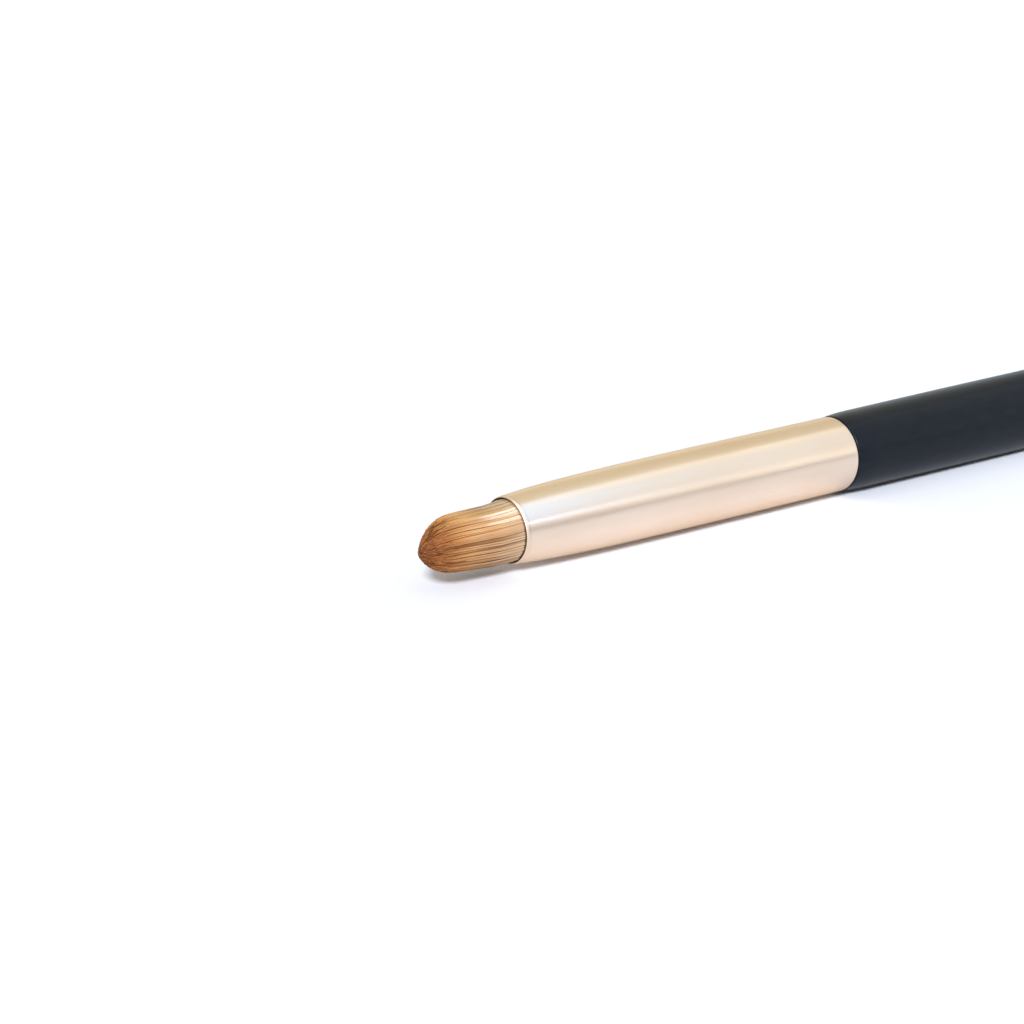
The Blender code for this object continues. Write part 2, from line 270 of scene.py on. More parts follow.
class Finish:
    """A material with one Principled shader, whose sockets take numbers, colours or Values."""

    def __init__(self, name):
        self.material = bpy.data.materials.new(name)
        self.material.use_nodes = True
        self.tree = self.material.node_tree
        self.shader = self.tree.nodes["Principled BSDF"]

    def feed(self, socket, value):
        """Links a Value to a socket, or sets the socket to a number, colour or vector."""
        if isinstance(value, Value):
            self.tree.links.new(value.socket, socket)
        elif socket.type == "RGBA":
            socket.default_value = (*value, 1.0)
        else:
            socket.default_value = value

    def node(self, kind, settings=None, inputs=None, output=0):
        """Adds a node: its settings or a ramp's stops first, then its sockets. Gives one output."""
        made = self.tree.nodes.new(kind)
        for name, setting in (settings or {}).items():
            if name == "stops":
                ramp = made.color_ramp.elements
                while len(ramp) < len(setting):
                    ramp.new(1.0)
                for element, (place, colour) in zip(ramp, setting):
                    element.position = place
                    element.color = (*colour, 1.0)
            else:
                setattr(made, name, setting)
        for name, value in (inputs or {}).items():
            self.feed(made.inputs[name], value)
        return Value(self, made.outputs[output])

    def attribute(self, name):
        """The number that the mesh holds under this name."""
        return self.node("ShaderNodeAttribute", {"attribute_name": name}, output="Fac")

    def places(self, scale, centre=(0.0, 0.0, 0.0)):
        """The surface's own place in metres, measured from a centre and then scaled."""
        place = self.node("ShaderNodeTexCoord", output="Object")
        shift = [-c * s for c, s in zip(centre, scale)]
        return self.node("ShaderNodeMapping", None, {"Vector": place, "Location": shift, "Scale": scale})

    def noise(self, waves, detail=2.0, roughness=0.5):
        """Smooth noise of about 0 to 1, with so many waves per metre along each axis."""
        where = self.places(waves)
        sockets = {"Vector": where, "Scale": 1.0, "Detail": detail, "Roughness": roughness}
        return self.node("ShaderNodeTexNoise", {"noise_dimensions": "3D"}, sockets)

    def ranged(self, value, low, high, to_low=0.0, to_high=1.0):
        """A Value moved from one range to another and kept inside it."""
        sockets = {"Value": value, "From Min": low, "From Max": high, "To Min": to_low, "To Max": to_high}
        return self.node("ShaderNodeMapRange", {"clamp": True}, sockets)

    def ramp(self, value, *stops):
        """A colour for each number from 0 to 1."""
        return self.node("ShaderNodeValToRGB", {"stops": stops}, {"Fac": value})

    def mix(self, share, first, second, kind="MIX"):
        """A colour between two, or their product and the like."""
        settings = {"data_type": "RGBA", "blend_type": kind, "clamp_factor": True}
        return self.node("ShaderNodeMix", settings, {0: share, 6: first, 7: second}, 2)

    def scaled(self, colour, value):
        """A colour made lighter or darker, or a vector made longer or shorter."""
        return self.node("ShaderNodeVectorMath", {"operation": "SCALE"}, {0: colour, "Scale": value})

    def vectors(self, operation, *inputs):
        """One step of vector maths."""
        return self.node("ShaderNodeVectorMath", {"operation": operation}, dict(enumerate(inputs)))

    def facing(self, share, tilt):
        """A normal between the surface's own and that of the hair's scales, tilted round the axis."""
        out = self.vectors("NORMALIZE", self.places((0.0, 1.0, 1.0), (0.0, 0.0, AXIS_HEIGHT)))
        round_axis = self.vectors("CROSS_PRODUCT", (1.0, 0.0, 0.0), out)
        scales = self.vectors("ADD", out, (-SCALE_TILT, 0.0, 0.0))
        out = self.vectors("ADD", scales, self.scaled(round_axis, tilt))
        own = self.node("ShaderNodeNewGeometry", output="Normal")
        joined = self.vectors("ADD", self.scaled(own, 1 - share), self.scaled(out, share))
        return self.vectors("NORMALIZE", joined)

    def bumped(self, height, depth):
        """A normal that follows a height of 0 to 1, where 1 stands for this depth."""
        return self.node("ShaderNodeBump", None, {"Height": height, "Distance": depth, "Strength": 1.0})

    def blended(self, share, **sockets):
        """Adds a second Principled shader, which replaces the first by a share that may vary."""
        first = self.shader
        output = self.tree.nodes["Material Output"].inputs["Surface"]
        self.shader = self.tree.nodes.new("ShaderNodeBsdfPrincipled")
        mixed = self.tree.nodes.new("ShaderNodeMixShader")
        self.feed(mixed.inputs["Fac"], share)
        self.tree.links.new(first.outputs["BSDF"], mixed.inputs[1])
        self.tree.links.new(self.shader.outputs["BSDF"], mixed.inputs[2])
        self.tree.links.new(mixed.outputs["Shader"], output)
        return self.coat(**sockets)

    def coat(self, **sockets):
        """Sets the Principled shader's sockets, by their names with _ for spaces, and gives the material."""
        for name, value in sockets.items():
            self.feed(self.shader.inputs[name.replace("_", " ")], value)
        return self.material


# Meshes


def ferrule_radius(distance):
    """Outer radius of the ferrule: it narrows towards the mouth along a soft curve."""
    return MOUTH_RADIUS + FERRULE_SWELL * (1 - math.exp(-distance / FERRULE_TAPER))


def handle_radius(distance):
    """Radius of the lacquered rod. It lies on its belly, so there it is as thick as the axis is high."""
    if distance < BELLY:
        left = max(0.0, 1 - (distance - SHOULDER) / SHOULDER_LENGTH)
        rise = math.sin((distance - SHOULDER) / BELLY_DISTANCE * math.pi / 2)
        belly_swell = AXIS_HEIGHT - SHOULDER_RADIUS - SHOULDER_SWELL
        return SHOULDER_RADIUS + SHOULDER_SWELL * (1 - left**2) + belly_swell * rise
    fall = (distance - BELLY) / (TAIL_END - BELLY)
    return AXIS_HEIGHT - (AXIS_HEIGHT - TAIL_RADIUS) * fall**TAPER_POWER


def spaced(start, stop, count, power=1.0):
    """So many distances from start to stop, closer together near the start where the power is over 1."""
    return [start + (stop - start) * (i / (count - 1)) ** power for i in range(count)]


def turned(outline, sides=TURNED_SIDES):
    """A bmesh spun round the brush's axis. Its outline's points are (distance, radius)."""
    bm = bmesh.new()
    points = [bm.verts.new((MOUTH_X + x, 0, AXIS_HEIGHT + r)) for x, r in outline]
    edges = [bm.edges.new(pair) for pair in zip(points, points[1:])]
    if outline[0][1] > 0:
        edges.append(bm.edges.new((points[-1], points[0])))
    bmesh.ops.spin(
        bm,
        geom=points + edges,
        cent=(0, 0, AXIS_HEIGHT),
        axis=(1, 0, 0),
        angle=2 * math.pi,
        steps=sides,
        use_merge=True,
    )
    bmesh.ops.remove_doubles(bm, verts=bm.verts, dist=MERGE_DISTANCE)
    bmesh.ops.recalc_face_normals(bm, faces=bm.faces)
    return bm


def round_edge(bm, distance, radius, offset, segments):
    """Bevels the circle of edges at one point of a turned bmesh's outline."""

    def on_circle(vert):
        behind = vert.co.x - MOUTH_X - distance
        outside = math.hypot(vert.co.y, vert.co.z - AXIS_HEIGHT) - radius
        return abs(behind) < CIRCLE_TOLERANCE and abs(outside) < offset * ROUND_TOLERANCE

    circle = [edge for edge in bm.edges if all(on_circle(vert) for vert in edge.verts)]
    bmesh.ops.bevel(
        bm,
        geom=circle,
        offset=offset,
        affect="EDGES",
        segments=segments,
        profile=0.5,
        material=-1,
    )


def finish_piece(name, bm, material, node, crease_degrees=35.0):
    """Makes a bmesh an object that rides on the brush and stands for a CAD node."""
    mesh = bpy.data.meshes.new(name)
    bm.to_mesh(mesh)
    bm.free()
    mesh.shade_smooth()
    if crease_degrees is not None:
        mesh.set_sharp_from_angle(angle=math.radians(crease_degrees))
    mesh.materials.append(material)
    piece = bpy.data.objects.new(name, mesh)
    bpy.context.scene.collection.objects.link(piece)
    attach(piece, "root")
    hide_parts(node)


def scattered_disc(count, radius, scatter, reach):
    """Evenly spread points in a disc, each moved a little by chance, as (y, z) about the axis."""
    points = []
    for i in range(count):
        distance = radius * math.sqrt((i + 0.5) / count)
        angle = i * GOLDEN_ANGLE
        point = Vector((distance * math.cos(angle), distance * math.sin(angle)))
        point += Vector((scatter.uniform(-reach, reach), scatter.uniform(-reach, reach)))
        points.append(point * min(1.0, radius / point.length))
    return points


def dome_share(distance):
    """The tuft's radius at a distance from the mouth, as a share of its radius at the mouth."""
    over = max(0.0, distance - TIP_REACH + DOME_LENGTH) / DOME_LENGTH
    return (1 - min(1.0, over) ** DOME_POWER) ** (1 / DOME_ROUNDNESS)


def tip_distance(share):
    """How far from the mouth the dome has this share of the tuft's radius."""
    return TIP_REACH - DOME_LENGTH + DOME_LENGTH * (1 - share**DOME_ROUNDNESS) ** (1 / DOME_POWER)


# Settings


class TuftSettings(bpy.types.PropertyGroup):
    """Sizes and colours of the hair."""

    strands: bpy.props.IntProperty(
        name="Strands",
        description="How many strands of hair the tuft has",
        default=2900,
        min=300,
        max=2900,
    )
    thickness: bpy.props.FloatProperty(
        name="Thickness",
        description="Thickness of a strand at the mouth",
        default=0.000112,
        precision=6,
        unit="LENGTH",
    )
    locks: bpy.props.IntProperty(
        name="Locks",
        description="How many fine locks the hair gathers into",
        default=420,
        min=1,
        max=600,
    )
    bundles: bpy.props.IntProperty(
        name="Bundles",
        description="How many bundles the locks part into, with a dark gap between them",
        default=34,
        min=1,
        max=100,
    )
    gathering: bpy.props.FloatProperty(
        name="Gathering",
        description="How closely each lock draws together towards its tip",
        default=0.26,
        min=0.0,
        max=0.9,
        subtype="FACTOR",
    )
    parting: bpy.props.FloatProperty(
        name="Parting",
        description="How closely each bundle draws together towards its tip",
        default=0.09,
        min=0.0,
        max=0.5,
        subtype="FACTOR",
    )
    convergence: bpy.props.FloatProperty(
        name="Convergence",
        description="How far the strands bend in with the dome, where 0 leaves them straight",
        default=0.56,
        min=0.0,
        max=0.9,
        subtype="FACTOR",
    )
    flatness: bpy.props.FloatProperty(
        name="Flatness",
        description="How far the strands of a lock shine as one smooth surface near the ferrule",
        default=0.95,
        min=0.0,
        max=1.0,
        subtype="FACTOR",
    )
    tilt: bpy.props.FloatProperty(
        name="Tilt",
        description="How unevenly the locks face, which breaks their shine into streaks",
        default=0.42,
        min=0.0,
        max=1.0,
    )
    lean: bpy.props.FloatProperty(
        name="Lean",
        description="How far the tip of the tuft leans to the side",
        default=0.00004,
        precision=5,
        unit="LENGTH",
    )
    top_skew: bpy.props.FloatProperty(
        name="Top skew",
        description="How much farther the dome reaches on top than at half height",
        default=0.00008,
        precision=5,
        unit="LENGTH",
    )
    side_skew: bpy.props.FloatProperty(
        name="Side skew",
        description="How much farther the dome reaches on its +Y side than in the middle",
        default=-0.00100,
        precision=5,
        unit="LENGTH",
    )
    lift: bpy.props.FloatProperty(
        name="Lift",
        description="How far the free part of the tuft bends up, before its tip hangs down",
        default=0.00050,
        precision=5,
        unit="LENGTH",
    )
    droop: bpy.props.FloatProperty(
        name="Droop",
        description="How far the very tip of the tuft hangs down",
        default=0.00064,
        precision=5,
        unit="LENGTH",
    )
    sag: bpy.props.FloatProperty(
        name="Sag",
        description="How far the tuft sinks below the ferrule's axis, a fifth of it at the mouth",
        default=0.00018,
        precision=5,
        unit="LENGTH",
    )
    root_colour: bpy.props.FloatVectorProperty(
        name="Root colour",
        description="Colour of the hair at the ferrule",
        default=(0.64, 0.39, 0.205),
        size=3,
        min=0.0,
        max=1.0,
        subtype="COLOR",
    )
    middle_colour: bpy.props.FloatVectorProperty(
        name="Middle colour",
        description="Colour of the hair half way along",
        default=(0.465, 0.230, 0.081),
        size=3,
        min=0.0,
        max=1.0,
        subtype="COLOR",
    )
    tip_colour: bpy.props.FloatVectorProperty(
        name="Tip colour",
        description="Colour of the dipped tips of the hair",
        default=(0.20, 0.066, 0.018),
        size=3,
        min=0.0,
        max=1.0,
        subtype="COLOR",
    )


class FerruleSettings(bpy.types.PropertyGroup):
    """Colour and finish of the metal tube."""

    colour: bpy.props.FloatVectorProperty(
        name="Metal colour",
        description="Colour of the anodised metal",
        default=(0.825, 0.672, 0.55),
        size=3,
        min=0.0,
        max=1.0,
        subtype="COLOR",
    )
    roughness: bpy.props.FloatProperty(
        name="Roughness",
        description="How much the satin finish spreads what it reflects",
        default=0.29,
        min=0.0,
        max=1.0,
        subtype="FACTOR",
    )


class HandleSettings(bpy.types.PropertyGroup):
    """Colour and finish of the turned rod."""

    colour: bpy.props.FloatVectorProperty(
        name="Lacquer colour",
        description="Colour of the lacquer",
        default=(0.006, 0.008, 0.0115),
        size=3,
        min=0.0,
        max=1.0,
        subtype="COLOR",
    )
    roughness: bpy.props.FloatProperty(
        name="Roughness",
        description="How much the lacquer spreads what it reflects",
        default=0.32,
        min=0.0,
        max=1.0,
        subtype="FACTOR",
    )


class StudioSettings(bpy.types.PropertyGroup):
    """The floor, the lights and the camera."""

    floor_size: bpy.props.FloatProperty(
        name="Floor size",
        description="Length of the floor's sides",
        default=3.0,
        unit="LENGTH",
    )
    room: bpy.props.FloatProperty(
        name="Room",
        description="Brightness of the white room round the brush",
        default=0.45,
        min=0.0,
    )
    key: bpy.props.FloatProperty(
        name="Key",
        description="Brightness of the lamp that throws the shadow",
        default=1.33,
        min=0.0,
    )
    key_spread: bpy.props.FloatProperty(
        name="Key spread",
        description="How wide that lamp looks from the brush, which softens the shadow's edge",
        default=math.radians(12),
        subtype="ANGLE",
    )
    softboxes: bpy.props.FloatProperty(
        name="Softboxes",
        description="Brightness of the softboxes that the metal and the lacquer mirror",
        default=1.0,
        min=0.0,
    )
    lens: bpy.props.FloatProperty(
        name="Lens",
        description="Focal length of the camera, in millimetres",
        default=100.0,
        min=10.0,
    )


# Finishes


def hair_finish(settings):
    """Fine glossy fibre: tan at the ferrule, golden half way and brown at the dipped tips."""
    finish = Finish("tan_hair")
    along = finish.attribute("tuft_share")
    top = finish.attribute("height")
    shade = finish.attribute("strand_shade")
    lock = finish.attribute("lock_shade")
    inner = finish.ranged(along, 0.02, 0.30) * finish.ranged(along, 0.75, 1.0, 1.0, 0.4)
    # Painted shade: a share of the locks stands for the gaps between bundles, darker and browner along the
    # middle stretch
    gap = (1 - finish.ranged(lock, 0.0, 0.3)) * inner
    root, middle, tip = map(tuple, (settings.root_colour, settings.middle_colour, settings.tip_colour))
    dip = along + DIP_STRAND_SHIFT * shade + DIP_LOCK_SHIFT * lock + DIP_GAP_SHADE_SHIFT * gap - DIP_START_SHIFT
    colour = finish.ramp(dip, (0.0, root), (0.42, middle), (0.58, middle), (0.95, tip))
    # Painted light: the upper side of the tuft is tinted more golden
    colour = finish.mix(finish.ranged(top, 0.5, 0.95), colour, PAINTED_TOP_TINT, "MULTIPLY")
    colour = finish.mix(gap, colour, GAP_SHADE_TINT, "MULTIPLY")
    colour = finish.scaled(colour, hair_light(finish, along, top, shade, lock, gap))
    flat = settings.flatness * (1 - finish.ranged(along, 0.32, 0.80))
    normal = finish.facing(flat, settings.tilt * (2 * finish.attribute("lock_tilt") - 1))
    finish.coat(
        Base_Color=colour,
        Roughness=0.13 + 0.10 * shade + 0.10 * finish.ranged(along, 0.3, 0.8),
        IOR=1.62,
        Specular_IOR_Level=0.9,
        Normal=normal,
    )
    glossy = (1 - finish.ranged(along, 0.25, 0.75)) * finish.ranged(0.6 * lock + 0.4 * shade, 0.15, 0.45)
    return finish.blended(
        1 - glossy,
        Base_Color=colour,
        Roughness=0.50,
        Specular_IOR_Level=0.16,
        Normal=normal,
    )


def hair_light(finish, along, top, shade, lock, gap):
    """How light the hair is: strands and locks differ most near the tip, and both ends are darker. Painted
    light brightens the top; painted shade darkens a band at about half height, the gaps between locks, the
    root at the lip and the sides near the mouth.
    """
    spread = STRAND_SPREAD + STRAND_TIP_SPREAD * finish.ranged(along, 0.50, 0.80)
    lock_spread = LOCK_SPREAD + LOCK_TIP_SPREAD * finish.ranged(along, 0.6, 0.9)
    # Painted shade: a band at about half height is darker
    painted_shade_band = finish.ranged(top, -0.50, -0.15) * finish.ranged(top, 0.20, 0.60, 1.0, 0.0)
    painted_shade_band = painted_shade_band * finish.ranged(along, 0.1, 0.4)
    # Painted light makes the upper side of the tuft lighter
    light = HAIR_LIGHT + spread * shade + lock_spread * lock + TOP_PAINTED_LIGHT * finish.ranged(top, 0.1, 0.8)
    light = (light - BAND_SHADE * painted_shade_band) * (1 - GAP_SHADE * gap)
    # Painted shade at the root, where the hair meets the lip, least on top
    painted_root_shade = finish.ranged(top, 0.2, 0.95, 0.25, 0.75)
    light = light * finish.ranged(along, 0.0, 0.012, painted_root_shade, 1.0)
    light = light * finish.ranged(along, 0.90, 1.0, 1.0, 0.76)
    # Painted shade near the mouth, least at the bottom and the top; the top's share is painted light
    painted_mouth_shade = finish.ranged(top, -0.3, 0.4, 0.98, 0.84) + PAINTED_MOUTH_TOP_LIGHT * finish.ranged(top, 0.6, 0.95)
    return light * finish.ranged(along, 0.02, 0.25, painted_mouth_shade, 1.0)


def root_finish():
    """Hair ends soaked in resin: darker and smoother than the free hair."""
    finish = Finish("bonded_roots")
    grain = finish.noise(ROOT_GRAIN_WAVES, detail=3.0)
    return finish.coat(
        Base_Color=finish.mix(grain, *ROOT_COLOURS),
        Roughness=finish.ranged(grain, 0.3, 0.7, 0.25, 0.45),
        Normal=finish.bumped(grain, ROOT_GRAIN_DEPTH),
    )


def metal_finish(settings):
    """Satin anodised aluminium with the faint lines that drawing leaves along the tube, and painted shade on
    the bore.
    """
    finish = Finish("satin_champagne_metal")
    drawn = finish.noise(DRAWN_WAVES, detail=3.0, roughness=0.6)
    cloud = finish.noise(METAL_CLOUD_WAVES)
    bore = finish.attribute("bore")
    lip = finish.attribute("lip")
    colour = tuple(settings.colour)
    deeper = tuple(c * tint for c, tint in zip(colour, METAL_CLOUD_TINT))
    outside = finish.mix(finish.ranged(cloud, 0.35, 0.65), colour, deeper)
    outside = finish.mix(lip, outside, LIP_COLOUR)
    roughness = settings.roughness + (BORE_ROUGHNESS * bore + LIP_ROUGHNESS * lip)
    return finish.coat(
        Base_Color=finish.mix(bore, outside, BORE_SHADE_COLOUR),
        Metallic=1 - bore,
        Roughness=roughness + 0.07 * (drawn - NOISE_MIDDLE) + 0.04 * (cloud - NOISE_MIDDLE),
        Specular_Tint=METAL_EDGE_TINT,
        Normal=finish.bumped(drawn, DRAWN_DEPTH),
    )


def lacquer_finish(settings):
    """Satin lacquer over turned wood, with a very shallow unevenness."""
    finish = Finish("satin_black_lacquer")
    uneven = finish.noise(LACQUER_WAVES)
    dust = finish.noise(DUST_WAVES, detail=1.0)
    colour = tuple(settings.colour)
    lighter = tuple(c * LACQUER_CLOUD_LIGHT for c in colour)
    return finish.coat(
        Base_Color=finish.mix(finish.ranged(uneven, 0.3, 0.7), colour, lighter),
        Roughness=settings.roughness + 0.08 * (uneven - NOISE_MIDDLE) + 0.05 * (dust - NOISE_MIDDLE),
        Specular_IOR_Level=0.11,
        Normal=finish.bumped(uneven, LACQUER_DEPTH),
    )


def thread_finish():
    """Waxed thread: pale plies that wind round it."""
    finish = Finish("waxed_tie_thread")
    ply = finish.node(
        "ShaderNodeTexWave",
        {"wave_type": "BANDS", "bands_direction": "DIAGONAL"},
        {"Vector": finish.places(PLY_WAVES), "Scale": 1.0, "Distortion": 0.6},
        "Fac",
    )
    return finish.coat(
        Base_Color=finish.mix(ply, *THREAD_COLOURS),
        Roughness=0.62 + 0.2 * ply,
        Normal=finish.bumped(ply, PLY_DEPTH),
    )


def resin_finish():
    """Amber resin, clouded where it took up air."""
    finish = Finish("amber_resin")
    cloud = finish.noise(RESIN_WAVES, detail=3.0)
    deep, clouded = RESIN_COLOURS
    return finish.coat(
        Base_Color=finish.ramp(cloud, (0.3, deep), (0.7, clouded)),
        Roughness=finish.ranged(cloud, 0.3, 0.7, 0.10, 0.28),
        Coat_Weight=0.5,
    )


def glue_finish():
    """Cured wood glue with a dragged, uneven face."""
    finish = Finish("dragged_wood_glue")
    drag = finish.noise(DRAG_WAVES, detail=3.0)
    thick, thin = GLUE_COLOURS
    return finish.coat(
        Base_Color=finish.ramp(drag, (0.3, thick), (0.7, thin)),
        Roughness=0.3 + 0.25 * drag,
        Normal=finish.bumped(drag, DRAG_DEPTH),
    )


def floor_finish():
    """A white matt board, a little cool."""
    finish = Finish("white_board")
    grain = finish.noise(BOARD_WAVES, detail=3.0)
    return finish.coat(
        Base_Color=finish.mix(grain, *BOARD_COLOURS),
        Roughness=0.9,
        Specular_IOR_Level=0.2,
    )


# Pieces


class ADD_OT_concealer_hair(bpy.types.Operator):
    """Makes the hair strand by strand, and the bonded roots that it grows from"""

    bl_idname = "concealer.hair"
    bl_label = "Hair"
    bl_options = {"REGISTER", "UNDO"}

    seed: bpy.props.IntProperty(name="Seed", description="Chooses how the strands scatter", default=55)

    def execute(self, context):
        settings = context.scene.concealer_tuft
        scatter = random.Random(self.seed)
        bm = self.strands(settings, scatter)
        finish_piece("hair", bm, hair_finish(settings), "bristle_tuft", None)
        finish_piece("hair_roots", self.roots(), root_finish(), "bristle_tuft")
        return {"FINISHED"}

    def strands(self, settings, scatter):
        """Each strand starts as a cell of a grid, moved to its root and then drawn out ring by ring."""
        count = settings.strands
        side = TUFT_RADIUS - settings.thickness / 2
        places = scattered_disc(count, side, scatter, settings.thickness * ROOT_SCATTER)
        locks = self.centres(settings.locks, side, scatter)
        bundles = self.centres(settings.bundles, side, scatter)
        bm = bmesh.new()
        alongs = bm.verts.layers.float.new("tuft_share")
        shades = bm.faces.layers.float.new("strand_shade")
        lock_shades = bm.faces.layers.float.new("lock_shade")
        lock_tilts = bm.faces.layers.float.new("lock_tilt")
        heights = bm.faces.layers.float.new("height")
        columns = math.ceil(math.sqrt(count))
        bmesh.ops.create_grid(bm, x_segments=columns, y_segments=columns, size=side)
        bmesh.ops.split_edges(bm, edges=bm.edges)
        bmesh.ops.delete(bm, geom=bm.faces[count:], context="FACES")
        faces = list(bm.faces)
        lock_light = {lock.freeze(): (scatter.random(), scatter.random()) for lock in locks}
        strands = []
        for face, place in zip(faces, places):
            lock = min(locks, key=lambda centre: (centre - place).length_squared)
            bundle = min(bundles, key=lambda centre: (centre - lock).length_squared)
            face[shades] = scatter.random()
            face[lock_shades], face[lock_tilts] = lock_light[lock]
            face[heights] = place.y / side
            cut_share = (place.length / side) ** (1 / (1 - settings.convergence))
            towards = place.normalized() * cut_share
            skew = settings.top_skew * towards.y + settings.side_skew * towards.x
            cut = tip_distance(max(BLUNT_SHARE, min(1.0, cut_share))) + skew
            reach = cut * (1 + scatter.uniform(*CUT_SCATTER))
            turn = scatter.uniform(0, math.pi / 2)
            half = settings.thickness * scatter.uniform(*HALF_SCATTER)
            stray = Vector((scatter.uniform(-1, 1), scatter.uniform(-1, 1))) * settings.thickness * STRAY
            strands.append((place, lock, bundle, reach, skew, turn, half, stray))
        self.shape_ring(faces, strands, settings, alongs, ROOT_DEPTH, 0.0)
        for free_share in RING_SHARES:
            faces = bmesh.ops.extrude_discrete_faces(bm, faces=faces)["faces"]
            self.shape_ring(faces, strands, settings, alongs, 0.0, free_share)
        for face in faces:
            for edge in face.edges:
                edge.smooth = False
        open_edges = [edge for edge in bm.edges if edge.is_boundary]
        bmesh.ops.holes_fill(bm, edges=open_edges, sides=4)
        bmesh.ops.recalc_face_normals(bm, faces=bm.faces)
        return bm

    def centres(self, count, side, scatter):
        """The middles of the locks or bundles."""
        return scattered_disc(count, side, scatter, side / math.sqrt(count) * CENTRE_SCATTER)

    def shape_ring(self, faces, strands, settings, alongs, behind, free_share):
        """Moves each strand's newest ring to its place, and gives it its thickness there."""
        for face, (place, lock, bundle, reach, skew, turn, half, stray) in zip(faces, strands):
            out = reach * free_share
            along = out / TUFT_LENGTH
            centre = place.lerp(lock, settings.gathering * free_share**GATHERING_POWER)
            centre = centre.lerp(bundle, settings.parting * free_share) + stray * free_share
            closing = max(TIP_SHARE, dome_share(out - skew)) ** settings.convergence
            swell = 0.0 if behind else MOUTH_SWELL_SHARE * max(0.0, 1 - MOUTH_SWELL_FADE * along)
            centre *= (1 + swell - PINCH_SHARE * along**2) * closing
            rise = settings.lift * along**LIFT_POWER - settings.droop * along**DROOP_POWER
            sinking = 0.0 if behind else min(1.0, MOUTH_SAG_SHARE + SAG_GROWTH * along)
            rise -= settings.sag * sinking * (1 - SAG_SLANT * place.y / TUFT_RADIUS)
            centre += Vector((-settings.lean * along**2, rise))
            reach_out = half * (1 - STRAND_TAPER_SHARE * free_share**STRAND_TAPER_POWER)
            for i, vert in enumerate(face.verts):
                angle = turn + i * math.pi / 2
                y = centre.x + reach_out * math.cos(angle)
                z = centre.y + reach_out * math.sin(angle)
                vert.co = (MOUTH_X - out + behind, y, AXIS_HEIGHT + z)
                vert[alongs] = along

    def roots(self):
        """The slice of hair set in resin: a neck, a waist for the binding thread, and a flare."""
        flare_start = ROOT_END - ROOT_FLARE_LENGTH
        waist = TUFT_RADIUS - ROOT_WAIST_DEPTH
        outline = [
            (ROOT_DEPTH, 0.0),
            (ROOT_DEPTH, TUFT_RADIUS),
            (ROOT_WAIST_START, TUFT_RADIUS),
            (ROOT_WAIST_START + ROOT_WAIST_DEPTH, waist),
            (flare_start, waist),
            (ROOT_END, ROOT_FLARE_RADIUS),
            (ROOT_END, 0.0),
        ]
        return turned(outline, ROOT_SIDES)


class ADD_OT_concealer_ferrule(bpy.types.Operator):
    """Makes the drawn tube with its rounded lip"""

    bl_idname = "concealer.ferrule"
    bl_label = "Ferrule"
    bl_options = {"REGISTER", "UNDO"}

    def execute(self, context):
        places = spaced(TUBE_MARGIN, FERRULE_LENGTH - TUBE_MARGIN, TUBE_CIRCLES, power=TUBE_SPACING)
        places.append(FERRULE_LENGTH)
        outline = self.lip()
        outline += [(x, ferrule_radius(x)) for x in places]
        outline += [(x, ferrule_radius(x) - FERRULE_WALL) for x in reversed(places)]
        bm = turned(outline)
        round_edge(bm, FERRULE_LENGTH, ferrule_radius(FERRULE_LENGTH), FERRULE_REAR_ROUND, segments=4)
        bm.normal_update()
        bore = bm.faces.layers.float.new("bore")
        lip = bm.faces.layers.float.new("lip")
        for face in bm.faces:
            middle = face.calc_center_median()
            away = Vector((0, middle.y, middle.z - AXIS_HEIGHT))
            # The bore's faces take painted shade in the metal's finish
            face[bore] = 1.0 if face.normal.dot(away) < BORE_FACING * away.length else 0.0
            face[lip] = 1.0 if middle.x - MOUTH_X < LIP_LENGTH * LIP_COLOUR_SHARE else 0.0
        material = metal_finish(context.scene.concealer_ferrule)
        finish_piece("ferrule_tube", bm, material, "ferrule")
        return {"FINISHED"}

    def lip(self):
        """The rounded edge of the mouth: a quarter ellipse from the bore to the crest, then another."""
        points = []
        crest = MOUTH_RADIUS - LIP_DEPTH
        inner_depth = FERRULE_WALL - LIP_DEPTH
        for i in range(LIP_STEPS):
            turn = i / LIP_STEPS * math.pi / 2
            back = LIP_INNER_LENGTH * (1 - math.sin(turn))
            points.append((back, crest - inner_depth * math.cos(turn)))
        for i in range(LIP_STEPS + 1):
            turn = i / LIP_STEPS * math.pi / 2
            back = LIP_LENGTH * (1 - math.cos(turn))
            points.append((back, ferrule_radius(back) - LIP_DEPTH * (1 - math.sin(turn))))
        return points


